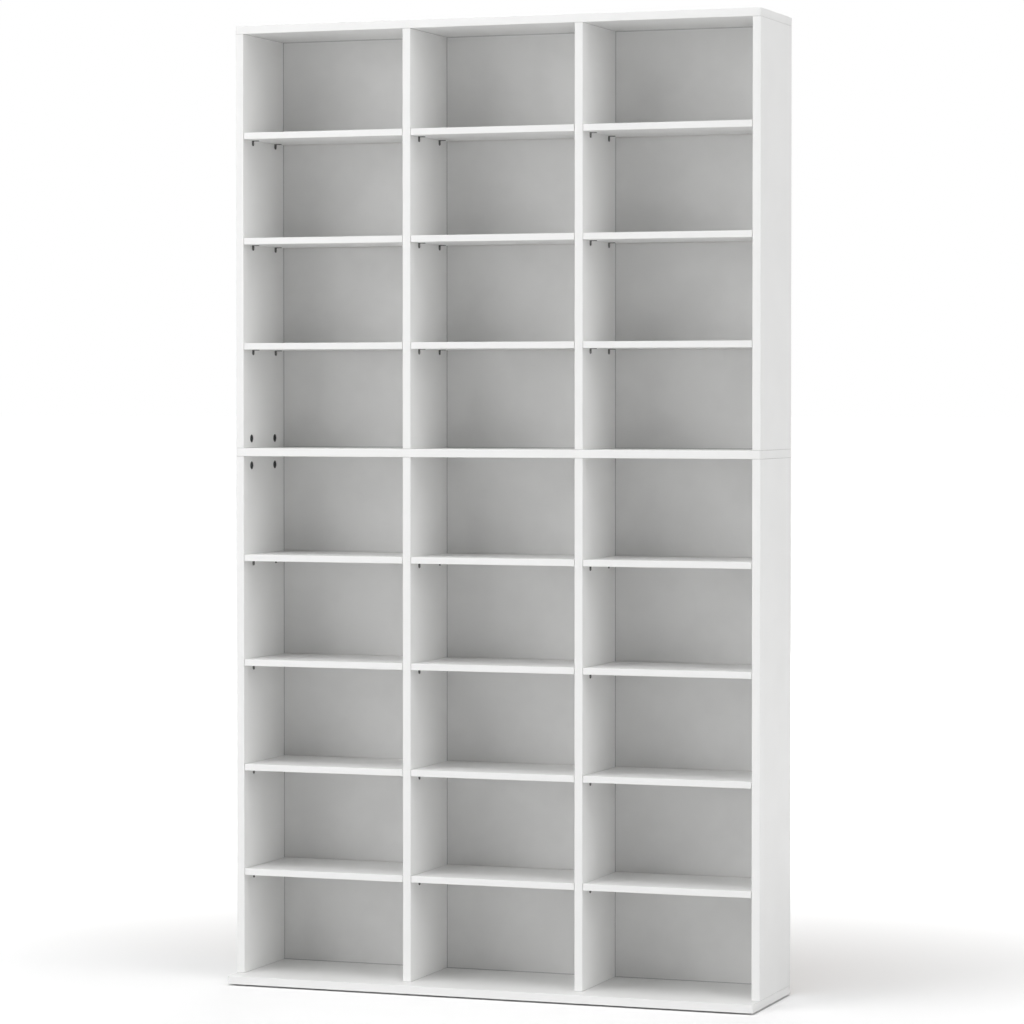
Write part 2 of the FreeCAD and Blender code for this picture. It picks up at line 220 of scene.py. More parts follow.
def shade_round(piece: bpy.types.Object) -> None:
    """Shade the round stretches of a piece smooth and keep its corners crisp."""
    make_active(piece)
    bpy.ops.object.shade_smooth_by_angle(angle=SMOOTH_UP_TO)


def break_edges(piece: bpy.types.Object, width: float, steps: int = 1) -> None:
    """Take the sharpness off the edges of a piece by a small bevel, and shade its round stretches smooth."""
    modify(piece, "BEVEL", width=width, segments=steps, limit_method="ANGLE", angle_limit=SHARP_FROM)
    shade_round(piece)


def copy_to(pattern: bpy.types.Object, places: Iterable[Matrix], name: str) -> bpy.types.Object:
    """Copy a finished pattern to each of its places and join the copies into one piece.

    Args:
        pattern: The pattern, modelled at the origin.
        places: Where each copy goes.
        name: Name of the piece that holds them all.

    Returns:
        One piece with a shell of its own for each place.
    """
    deselect_all()
    copies = []
    for place in places:
        twin = pattern.copy()
        twin.data = pattern.data.copy()
        twin.data.transform(place)
        bpy.context.scene.collection.objects.link(twin)
        twin.select_set(True)
        copies.append(twin)
    bpy.context.view_layer.objects.active = copies[0]
    bpy.ops.object.join()
    piece = bpy.context.object
    piece.name = name
    piece.data.name = name
    return piece


class Bench:
    """Edit mode on one piece: it picks faces, edges or corners by place, then shapes what it picked."""

    def __init__(self, piece: bpy.types.Object) -> None:
        """Remember the piece to shape."""
        self.piece = piece

    def __enter__(self) -> "Bench":
        """Enter edit mode with nothing picked.

        Returns:
            The bench.
        """
        make_active(self.piece)
        bpy.ops.object.mode_set(mode="EDIT")
        bpy.ops.mesh.select_all(action="DESELECT")
        return self

    def __exit__(self, *_: object) -> None:
        """Leave edit mode."""
        bpy.ops.object.mode_set(mode="OBJECT")

    def pick(self, kind: str, holds: Callable[[object], bool]) -> "Bench":
        """Pick the elements of one kind that pass a test.

        Args:
            kind: FACE, EDGE or VERT.
            holds: The test, on an element.

        Returns:
            The bench, so that what is picked can be shaped at once.
        """
        bpy.ops.mesh.select_mode(type=kind)
        bpy.ops.mesh.select_all(action="DESELECT")
        mesh = bmesh.from_edit_mesh(self.piece.data)
        elements = {"FACE": mesh.faces, "EDGE": mesh.edges, "VERT": mesh.verts}[kind]
        for element in elements:
            if holds(element):
                element.select_set(True)
        mesh.select_flush_mode()
        bmesh.update_edit_mesh(self.piece.data)
        return self

    def end_face(self, way: Vector) -> "Bench":
        """Pick the face that lies farthest one way.

        Args:
            way: The way, of length 1.

        Returns:
            The bench.
        """
        mesh = bmesh.from_edit_mesh(self.piece.data)
        reach = max(face.calc_center_median().dot(way) for face in mesh.faces)
        return self.pick("FACE", lambda face: face.calc_center_median().dot(way) > reach - HAIR)

    def edges(self, holds: Callable[[Vector], bool]) -> "Bench":
        """Pick the edges whose two ends both pass a test of their place."""
        return self.pick("EDGE", lambda edge: all(holds(corner.co) for corner in edge.verts))

    def corners(self, holds: Callable[[Vector], bool]) -> "Bench":
        """Pick the corners that pass a test of their place."""
        return self.pick("VERT", lambda corner: holds(corner.co))

    def move(self, by: Vector) -> None:
        """Move what is picked."""
        bpy.ops.transform.translate(value=by)

    def extrude(self, by: Vector) -> None:
        """Draw out what is picked."""
        bpy.ops.mesh.extrude_region_move(TRANSFORM_OT_translate={"value": by})

    def draw_edge(self, by: Vector) -> None:
        """Draw a new face out of the picked edge."""
        bpy.ops.mesh.extrude_edges_move(TRANSFORM_OT_translate={"value": by})

    def inset(self, width: float) -> None:
        """Draw a rim inside the picked face."""
        bpy.ops.mesh.inset(thickness=width, use_even_offset=True)

    def round_edges(self, radius: float, steps: int) -> None:
        """Round the picked edges."""
        bpy.ops.mesh.bevel(offset=radius, segments=steps, affect="EDGES", clamp_overlap=False)

    def round_corners(self, radius: float, steps: int) -> None:
        """Round the picked corners of a flat sheet.

        Args:
            radius: Radius of the corners.
            steps: Number of flats round each.
        """
        bpy.ops.mesh.bevel(offset=radius, segments=steps, affect="VERTICES", clamp_overlap=False)
        bpy.ops.mesh.select_all(action="SELECT")
        bpy.ops.mesh.remove_doubles(threshold=HAIR)


# Finishes

@dataclass(frozen=True)
class Mottle:
    """Pattern of soft spots in a finish: their width, finer layers, the share of those, contrast and scale.

    The pattern reads 0 below the first number of the contrast and 1 above the second. A scale below 1 draws
    the spots out along that axis.
    """

    size: float
    layers: float = 2.0
    fineness: float = 0.5
    contrast: tuple[float, float] = (0.0, 1.0)
    scale: tuple[float, float, float] = (1.0, 1.0, 1.0)


class NodeDraft:
    """Nodes of a finish or of the surroundings, with a short method for each kind that they share."""

    # A mix repeats the names of its inputs for each type of data, so those for colours go by number
    mix_inputs: tuple[int, int, int] = (0, 6, 7)
    mix_output: int = 2
    seen_rays: tuple[str, ...] = ("Is Camera Ray", "Is Glossy Ray", "Is Transmission Ray")

    def __init__(self, tree: bpy.types.NodeTree) -> None:
        """Empty a tree, to fill it anew."""
        self.tree = tree
        tree.nodes.clear()

    def node(self, kind: str, *values: object, **settings: object) -> bpy.types.Node:
        """Add a node.

        Args:
            kind: Type name of the node.
            values: What its first inputs are fed with, in order.
            settings: Properties to set on it.

        Returns:
            The node.
        """
        made = self.tree.nodes.new(kind)
        for key, value in settings.items():
            setattr(made, key, value)
        for entry, value in zip(made.inputs, values):
            self.feed(entry, value)
        return made

    def feed(self, entry: Socket, value: object) -> None:
        """Link a socket to an input, or set the input's own value.

        Args:
            entry: Input of a node.
            value: Socket, number, place or colour.
        """
        if isinstance(value, Socket):
            self.tree.links.new(value, entry)
        elif isinstance(value, tuple) and entry.type == "RGBA":
            entry.default_value = (*value, 1)
        else:
            entry.default_value = value

    def fed(self, kind: str, **values: object) -> bpy.types.Node:
        """Add a node and feed its inputs by name.

        Args:
            kind: Type name of the node.
            values: What its inputs are fed with, by name, with underscores for spaces.

        Returns:
            The node.
        """
        made = self.node(kind)
        for key, value in values.items():
            self.feed(made.inputs[key.replace("_", " ")], value)
        return made

    def point(self) -> Socket:
        """Place on the piece, in the row frame."""
        return self.node("ShaderNodeTexCoord").outputs["Object"]

    def axes(self, point: Socket) -> tuple[Socket, Socket, Socket]:
        """X, Y and Z of a place."""
        return tuple(self.node("ShaderNodeSeparateXYZ", point).outputs)

    def depths(self, point: Socket, low: Vector, high: Vector) -> list[tuple[Socket, Socket]]:
        """How deep a place lies in a box, measured from the two planes of each axis."""
        return [(self.math("SUBTRACT", place, low[axis]), self.math("SUBTRACT", high[axis], place))
                for axis, place in enumerate(self.axes(point))]

    def length(self, point: Socket) -> Socket:
        """Distance of a place from the origin."""
        return self.node("ShaderNodeVectorMath", point, operation="LENGTH").outputs["Value"]

    def stretched(self, point: Socket, scale: tuple[float, float, float]) -> Socket:
        """Place scaled by axis."""
        return self.fed("ShaderNodeMapping", Vector=point, Scale=scale).outputs[0]

    def math(self, operation: str, first: object, second: object) -> Socket:
        """Result of one sum on numbers or sockets."""
        return self.node("ShaderNodeMath", first, second, operation=operation).outputs[0]

    def extreme(self, operation: str, values: Iterable[Socket]) -> Socket:
        """Least or largest of several values, by the operation MINIMUM or MAXIMUM."""
        return reduce(partial(self.math, operation), values)

    def around(self, middle: float, spread: float, value: Socket) -> Socket:
        """Number that a value from 0 to 1 moves about its middle."""
        return self.math("ADD", self.math("MULTIPLY", value, spread), middle - spread / 2)

    def between(self, share: float, first: Socket, second: Socket) -> Socket:
        """Number between two others, for a fixed share of the second."""
        return self.math("ADD", self.math("MULTIPLY", first, 1 - share), self.math("MULTIPLY", second, share))

    def ramp(self, value: Socket, low: float = 0.0, high: float = 1.0, start: float = 0.0,
             end: float = 1.0) -> Socket:
        """Smooth step of a value between two limits, which leads from a start to an end."""
        made = self.node("ShaderNodeMapRange", value, low, high, start, end, interpolation_type="SMOOTHSTEP")
        return made.outputs[0]

    def within(self, distance: Socket, reach: float, softness: float = 0.1) -> Socket:
        """Flag that is 1 close by and falls to 0 over the last share of a reach."""
        return self.ramp(distance, reach * (1 - softness), reach, 1.0, 0.0)

    def noise(self, point: Socket, mottle: Mottle) -> Socket:
        """Value of a pattern at a place, with no contrast added."""
        return self.fed("ShaderNodeTexNoise", Vector=self.stretched(point, mottle.scale),
                        Scale=1 / mottle.size, Detail=mottle.layers, Roughness=mottle.fineness).outputs[0]

    def mottled(self, point: Socket, mottle: Mottle) -> Socket:
        """Value of a pattern at a place, with its contrast."""
        return self.ramp(self.noise(point, mottle), *mottle.contrast)

    def flakes(self, point: Socket, size: float) -> Socket:
        """Shade from 0 to 1 of the cell that a place lies in."""
        cells = self.fed("ShaderNodeTexVoronoi", Vector=point, Scale=1 / size)
        return self.node("ShaderNodeSeparateColor", cells.outputs["Color"]).outputs[0]

    def blend(self, share: Socket, first: object, second: object) -> Socket:
        """Colour between two others.

        Args:
            share: How much of the second, from 0 to 1.
            first: Colour or socket.
            second: Colour or socket.

        Returns:
            The blended colour.
        """
        made = self.node("ShaderNodeMix", data_type="RGBA")
        for index, value in zip(self.mix_inputs, (share, first, second)):
            self.feed(made.inputs[index], value)
        return made.outputs[self.mix_output]

    def relief(self, height: Socket, depth: float) -> Socket:
        """Normal of a fine relief whose height of 1 stands for a real depth."""
        return self.fed("ShaderNodeBump", Distance=depth, Height=height).outputs[0]

    def seen_directly(self) -> Socket:
        """Flag that is 1 for what the camera, a reflection or a transparent piece shows."""
        path = self.node("ShaderNodeLightPath")
        return self.extreme("MAXIMUM", [path.outputs[name] for name in self.seen_rays])


class FinishDraft(NodeDraft):
    """Nodes of one material."""

    def __init__(self, name: str) -> None:
        """Start a new material.

        Args:
            name: Its name.
        """
        self.material = bpy.data.materials.new(name)
        self.material.use_nodes = True
        super().__init__(self.material.node_tree)

    def surface(self, **values: object) -> Socket:
        """Surface of one kind, from the values of its inputs by name."""
        return self.fed("ShaderNodeBsdfPrincipled", **values).outputs[0]

    def either(self, share: Socket, first: Socket, second: Socket) -> Socket:
        """Two surfaces on one piece: the first where the share is 0, the second where it is 1."""
        return self.node("ShaderNodeMixShader", share, first, second).outputs[0]

    def finish(self, shader: Socket) -> bpy.types.Material:
        """Close the material with its surface."""
        self.node("ShaderNodeOutputMaterial", shader)
        return self.material


@dataclass(frozen=True)
class ParticleBoard:
    """Bare pressed chips: fine near the faces, coarse in the core, lying flat in the board."""

    pale: Colour = (0.60, 0.45, 0.28)
    dark: Colour = (0.24, 0.145, 0.07)
    roughness: float = 0.88
    coarse_chip: float = 0.0026
    fine_chip: float = 0.0009
    fine_layer: tuple[float, float] = (0.00144, 0.00336)
    flatness: float = 2.8
    splinters: Mottle = Mottle(0.0009, 2, 0.6)
    splinter_depth: float = 0.0002

    def surface(self, draft: FinishDraft, point: Socket, skin_depth: Socket, along: Along) -> Socket:
        """Surface of the chips.

        Args:
            draft: Nodes of the board's material.
            point: Place on the piece.
            skin_depth: Distance under the nearer wide face.
            along: Axis of the board's thickness.

        Returns:
            The shader.
        """
        scale = [1.0, 1.0, 1.0]
        scale[along.value] = self.flatness
        lying = draft.stretched(point, tuple(scale))
        core_share = draft.ramp(skin_depth, *self.fine_layer)
        coarse = draft.math("MULTIPLY", draft.flakes(lying, self.coarse_chip), core_share)
        skin_share = draft.math("SUBTRACT", 1.0, core_share)
        fine = draft.math("MULTIPLY", draft.flakes(lying, self.fine_chip), skin_share)
        colour = draft.blend(draft.ramp(draft.math("ADD", coarse, fine)), self.dark, self.pale)
        splintered = draft.relief(draft.noise(lying, self.splinters), self.splinter_depth)
        return draft.surface(Base_Color=colour, Roughness=self.roughness, Normal=splintered)


@dataclass(frozen=True)
class FacedBoard:
    """White melamine facing with a fine pearl, a glued band on the edges that show, bare chips elsewhere."""

    face: Colour = (0.885, 0.885, 0.878)
    face_shadow: Colour = (0.865, 0.865, 0.858)
    band: Colour = (0.945, 0.945, 0.94)
    glue_line: Colour = (0.60, 0.595, 0.58)
    # Painted shade: a dark line along the joint where an upright butts a board
    joint_shade: Colour = (0.34, 0.34, 0.335)
    band_thickness: float = 0.001
    glue_width: float = 0.00011
    joint_shade_width: float = 0.0006
    facing_depth: float = 0.00036
    bare_rear: float = 0.00062
    line_softness: float = 0.5
    cloud: Mottle = Mottle(0.16, 2, 0.6, (0.35, 0.65))
    pearl: Mottle = Mottle(0.0011, 1)
    pearl_depth: float = 0.00002
    face_roughness: float = 0.44
    band_roughness: float = 0.36
    core: ParticleBoard = ParticleBoard()

    def _glue_lines(self, draft: FinishDraft, banded: list[Socket]) -> Socket:
        """Thin line where each band meets the facing.

        Args:
            draft: Nodes of the board's material.
            banded: Distance from each banded edge.

        Returns:
            Flag that is 1 on the lines.
        """
        lines = []
        for distance in banded:
            offset = draft.math("ABSOLUTE", draft.math("SUBTRACT", distance, self.band_thickness), 0.0)
            lines.append(draft.within(offset, self.glue_width, self.line_softness))
        return draft.extreme("MAXIMUM", lines)

    def make(self, name: str, low: Vector, high: Vector, along: Along) -> bpy.types.Material:
        """Material of one board.

        Args:
            name: Name of the board.
            low: Its lowest corner.
            high: Its highest corner.
            along: Axis of its thickness. Every board is banded in front, and a flat one at its ends too.

        Returns:
            The material.
        """
        flat = along is Along.Z
        draft = FinishDraft("faced_board_" + name)
        point = draft.point()
        (left, right), (front, rear), (below, above) = draft.depths(point, low, high)
        skin_depth = draft.extreme("MINIMUM", (below, above) if flat else (left, right))
        depth = draft.extreme("MINIMUM", (left, right, front, rear, below, above))
        in_bore = draft.math("SUBTRACT", 1.0, draft.within(depth, self.facing_depth))
        bare = draft.math("MAXIMUM", in_bore, draft.within(rear, self.bare_rear))

        colour = draft.blend(draft.mottled(point, self.cloud), self.face, self.face_shadow)
        on_band = draft.within(front, self.band_thickness)
        colour = draft.blend(on_band, colour, self.band)
        glued = self._glue_lines(draft, [front, left, right] if flat else [front])
        colour = draft.blend(glued, colour, self.glue_line)
        if not flat:
            # Painted shade of the joint: the upright is darkened within a hair of its ends, where it butts a
            # board
            end = draft.extreme("MINIMUM", (below, above))
            in_joint_shade = draft.within(end, self.joint_shade_width, self.line_softness)
            colour = draft.blend(in_joint_shade, colour, self.joint_shade)
        roughness = draft.ramp(on_band, start=self.face_roughness, end=self.band_roughness)
        pearled = draft.relief(draft.noise(point, self.pearl), self.pearl_depth)
        facing = draft.surface(Base_Color=colour, Roughness=roughness, Normal=pearled)
        return draft.finish(draft.either(bare, facing, self.core.surface(draft, point, skin_depth, along)))


@dataclass(frozen=True)
class BackSheet:
    """Thin hardboard: a white film inside, bare pressed fibre outside."""

    # The film is greyer than the board facing: partly the sheet's own tone, partly painted shade of the deep
    # compartments
    film: Colour = (0.83, 0.83, 0.825)
    film_shadow: Colour = (0.80, 0.80, 0.795)
    groove_shadow: Colour = (0.42, 0.42, 0.418)
    groove_width: float = 0.002
    fibre: Colour = (0.30, 0.175, 0.088)
    fibre_dark: Colour = (0.17, 0.092, 0.042)
    fibre_pale: Colour = (0.42, 0.275, 0.155)
    film_cloud: Mottle = Mottle(0.09, 2, 0.6, (0.35, 0.65))
    film_grain: Mottle = Mottle(0.0016, 1)
    fibre_cloud: Mottle = Mottle(0.09, 3, 0.6)
    cloud_share: float = 0.15
    tangle: Mottle = Mottle(0.0016, 5, 0.7, (0.3, 0.62), (1.0, 1.0, 0.45))
    strands: Mottle = Mottle(0.004, 3, 0.6, (0.56, 0.72), (1.0, 1.0, 0.35))
    strand_share: float = 0.7
    film_depth: float = 0.00045
    film_roughness: float = 0.5
    fibre_roughness: float = 0.72
    film_relief: float = 0.000015
    fibre_relief: float = 0.00006

    def _inside(self, draft: FinishDraft, point: Socket, low: Vector, high: Vector) -> Socket:
        """White film, with a painted shadow where the sheet enters its grooves.

        Args:
            draft: Nodes of the sheet's material.
            point: Place on the sheet.
            low: Lowest corner of the stretch that shows.
            high: Highest corner of it.

        Returns:
            The shader.
        """
        sides, _, ends = draft.depths(point, low, high)
        groove_shade_mask = draft.within(draft.extreme("MINIMUM", sides + ends), self.groove_width, 1.0)
        white = draft.blend(draft.mottled(point, self.film_cloud), self.film, self.film_shadow)
        colour = draft.blend(groove_shade_mask, white, self.groove_shadow)
        grained = draft.relief(draft.noise(point, self.film_grain), self.film_relief)
        return draft.surface(Base_Color=colour, Roughness=self.film_roughness, Normal=grained)

    def _outside(self, draft: FinishDraft, point: Socket) -> Socket:
        """Bare brown fibre.

        Args:
            draft: Nodes of the sheet's material.
            point: Place on the sheet.

        Returns:
            The shader.
        """
        tangle = draft.noise(point, self.tangle)
        tone = draft.between(self.cloud_share, tangle, draft.noise(point, self.fibre_cloud))
        brown = draft.blend(draft.ramp(tone, *self.tangle.contrast), self.fibre_dark, self.fibre)
        strands = draft.math("MULTIPLY", draft.mottled(point, self.strands), self.strand_share)
        brown = draft.blend(strands, brown, self.fibre_pale)
        matted = draft.relief(tangle, self.fibre_relief)
        return draft.surface(Base_Color=brown, Roughness=self.fibre_roughness, Normal=matted)

    def make(self, name: str, low: Vector, opening: tuple[Vector, Vector]) -> bpy.types.Material:
        """Material of one sheet.

        Args:
            name: Name of the sheet.
            low: Its lowest corner.
            opening: Corners of the stretch of it that shows inside, grooves left out.

        Returns:
            The material.
        """
        draft = FinishDraft("back_sheet_" + name)
        point = draft.point()
        in_film = draft.within(draft.math("SUBTRACT", draft.axes(point)[1], low.y), self.film_depth)
        outside, inside = self._outside(draft, point), self._inside(draft, point, *opening)
        return draft.finish(draft.either(in_film, outside, inside))


@dataclass(frozen=True)
class PlatedSteel:
    """Pressed or turned steel under bright plating, with faint clouds and fine tool marks."""

    name: str
    bright: Colour
    dull: Colour
    roughness: float = 0.27
    roughness_spread: float = 0.2
    cloud: Mottle = Mottle(0.004, 4, 0.6, (0.3, 0.7))
    marks: Mottle = Mottle(0.0004, 3, 0.6, scale=(1.0, 1.0, 0.25))
    mark_depth: float = 0.000012

    def make(self) -> bpy.types.Material:
        """Material of all pieces with this plating.

        Returns:
            The material.
        """
        draft = FinishDraft(self.name)
        point = draft.point()
        cloud = draft.noise(point, self.cloud)
        colour = draft.blend(draft.ramp(cloud, *self.cloud.contrast), self.bright, self.dull)
        roughness = draft.around(self.roughness, self.roughness_spread, cloud)
        marked = draft.relief(draft.noise(point, self.marks), self.mark_depth)
        shader = draft.surface(Base_Color=colour, Metallic=1.0, Roughness=roughness, Normal=marked)
        return draft.finish(shader)


@dataclass(frozen=True)
class CastZinc:
    """Dark passivated die casting with a grainy skin."""

    name: str
    dark: Colour = (0.045, 0.045, 0.048)
    worn: Colour = (0.11, 0.11, 0.115)
    metallic: float = 0.7
    roughness: tuple[float, float] = (0.38, 0.6)
    cloud: Mottle = Mottle(0.004, 3, 0.6, (0.4, 0.75))
    grain: Mottle = Mottle(0.0005, 4, 0.7, (0.2, 0.8))
    grain_depth: float = 0.00004

    def make(self) -> bpy.types.Material:
        """Material of all pieces cast in it.

        Returns:
            The material.
        """
        draft = FinishDraft(self.name)
        point = draft.point()
        grain = draft.noise(point, self.grain)
        colour = draft.blend(draft.mottled(point, self.cloud), self.dark, self.worn)
        rough = draft.ramp(grain, *self.grain.contrast, *self.roughness)
        grained = draft.relief(grain, self.grain_depth)
        shader = draft.surface(Base_Color=colour, Metallic=self.metallic, Roughness=rough, Normal=grained)
        return draft.finish(shader)


@dataclass(frozen=True)
class MouldedPlastic:
    """Smooth moulded plastic with a fine spark texture."""

    name: str
    colour: Colour
    shade: Colour
    roughness: float = 0.42
    roughness_spread: float = 0.12
    cloud: Mottle = Mottle(0.009, 2, 0.5, (0.35, 0.65))
    spark: Mottle = Mottle(0.0003, 2, 0.6)
    spark_depth: float = 0.000015

    def make(self) -> bpy.types.Material:
        """Material of all pieces in this plastic.

        Returns:
            The material.
        """
        draft = FinishDraft(self.name)
        point = draft.point()
        spark = draft.noise(point, self.spark)
        colour = draft.blend(draft.mottled(point, self.cloud), self.colour, self.shade)
        rough = draft.around(self.roughness, self.roughness_spread, spark)
        sparked = draft.relief(spark, self.spark_depth)
        return draft.finish(draft.surface(Base_Color=colour, Roughness=rough, Normal=sparked))


@dataclass(frozen=True)
class Beech:
    """Turned beech with its fine flecks along the dowel."""

    name: str
    pale: Colour = (0.66, 0.46, 0.28)
    dark: Colour = (0.44, 0.27, 0.14)
    roughness: tuple[float, float] = (0.62, 0.78)
    flecks: Mottle = Mottle(0.0006, 4, 0.65, (0.2, 0.8), (1.0, 1.0, 0.12))
    grain: Mottle = Mottle(0.003, 2, 0.5, (0.36, 0.62), (1.0, 1.0, 0.05))
    grain_share: float = 0.5
    fleck_depth: float = 0.00005

    def make(self) -> bpy.types.Material:
        """Material of all pieces turned from it.

        Returns:
            The material.
        """
        draft = FinishDraft(self.name)
        point = draft.point()
        flecks = draft.noise(point, self.flecks)
        tone = draft.between(self.grain_share, flecks, draft.noise(point, self.grain))
        colour = draft.blend(draft.ramp(tone, *self.grain.contrast), self.dark, self.pale)
        rough = draft.ramp(flecks, *self.flecks.contrast, *self.roughness)
        flecked = draft.relief(flecks, self.fleck_depth)
        return draft.finish(draft.surface(Base_Color=colour, Roughness=rough, Normal=flecked))


def dress(name: str, material: bpy.types.Material) -> None:
    """Give a carried-over node its finish."""
    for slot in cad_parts[name].material_slots:
        slot.material = material


def middle(node: str) -> Vector:
    """Centre of a node's box."""
    low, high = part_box(node)
    return (low + high) / 2


def inset_ends(node: str, axis: int, inset: float) -> tuple[float, float]:
    """Two places on an axis, each an inset away from one end of a node's box."""
    low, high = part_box(node)
    return low[axis] + inset, high[axis] - inset


def column_walls(column: Column) -> tuple[float, float]:
    """X of the two wall faces that bound a column.

    Args:
        column: The column.

    Returns:
        X of the face on its left and of the face on its right.
    """
    uprights = list(Upright)
    index = list(Column).index(column)
    left, right = (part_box(upright.value + "_lower") for upright in uprights[index:index + 2])
    return left[1].x, right[0].x


def crossings(columns: Sequence[float], rows: Sequence[float], height: float,
              facing: Matrix = FACING_RIGHT) -> list[Matrix]:
    """Places where columns and rows cross, at one height and all turned the same way."""
    return [Matrix.Translation((x, y, height)) @ facing for x in columns for y in rows]


# Sub-assemblies

@dataclass
class Fitting:
    """Small pieces of one kind on the carcass: modelled once, copied to their places and finished alike."""

    finish: PlatedSteel | CastZinc | MouldedPlastic

    def __post_init__(self) -> None:
        """Make the material that all the pieces share."""
        self.material = self.finish.make()

    def set_out(self, pattern: bpy.types.Object, sets: Iterable[tuple[str, str, list[Matrix]]]) -> None:
        """Copy a pattern to its places and use it up.

        Args:
            pattern: The pattern.
            sets: For each new piece its name, the node that it stands for and the places of its copies.
        """
        for name, node, places in sets:
            piece = copy_to(pattern, places, name)
            piece.data.materials.clear()
            piece.data.materials.append(self.material)
            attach(piece, CARCASS)
            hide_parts(node)
            log.info("%s: %d faces, stands for %s", name, len(piece.data.polygons), node)
        bpy.data.objects.remove(pattern)


@dataclass
class Carcass:
    """Boards, uprights and back sheets: the fixed body of the shelf."""

    board_finish: FacedBoard = FacedBoard()
    sheet_finish: BackSheet = BackSheet()

    def dress_boards(self) -> None:
        """Finish the top, middle and base boards, whose ends show and are banded."""
        for name in ("top_board", "middle_board", "base_board"):
            dress(name, self.board_finish.make(name, *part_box(name), Along.Z))

    def dress_uprights(self) -> None:
        """Finish the sides and dividers, banded in front."""
        for half in Half:
            for upright in Upright:
                name = upright.value + "_" + half.value
                dress(name, self.board_finish.make(name, *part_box(name), Along.X))

    def _opening(self, column: Column, half: Half) -> tuple[Vector, Vector]:
        """Corners of the clear opening in front of a back sheet.

        Args:
            column: Column of the sheet.
            half: Half that it closes.

        Returns:
            Lowest and highest corner.
        """
        below, above = ("base_board", "middle_board") if half is Half.LOWER else ("middle_board", "top_board")
        left, right = column_walls(column)
        floor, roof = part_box(below)[1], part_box(above)[0]
        return Vector((left, roof.y, floor.z)), Vector((right, floor.y, roof.z))

    def dress_back_sheets(self) -> None:
        """Finish the six back sheets."""
        for half in Half:
            for column in Column:
                name = "back_panel_" + column.value + "_" + half.value
                dress(name, self.sheet_finish.make(name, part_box(name)[0], self._opening(column, half)))

    def build(self) -> None:
        """Dress every part of the carcass."""
        self.dress_boards()
        self.dress_uprights()
        self.dress_back_sheets()
        log.info("carcass: %d uprights, %d back sheets", len(Upright) * len(Half), len(Column) * len(Half))


@dataclass
class LooseShelves:
    """The 21 loose shelves, each on a body of its own."""

    finish: FacedBoard = FacedBoard()

    def build(self) -> None:
        """Dress every shelf; its ends are banded too, as it can be drawn out."""
        for number in range(1, SHELF_COUNT + 1):
            for column in Column:
                name = "shelf_" + column.value + "_" + str(number)
                dress(name, self.finish.make(name, *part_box(name), Along.Z))
        log.info("loose shelves: %d", SHELF_COUNT * len(Column))


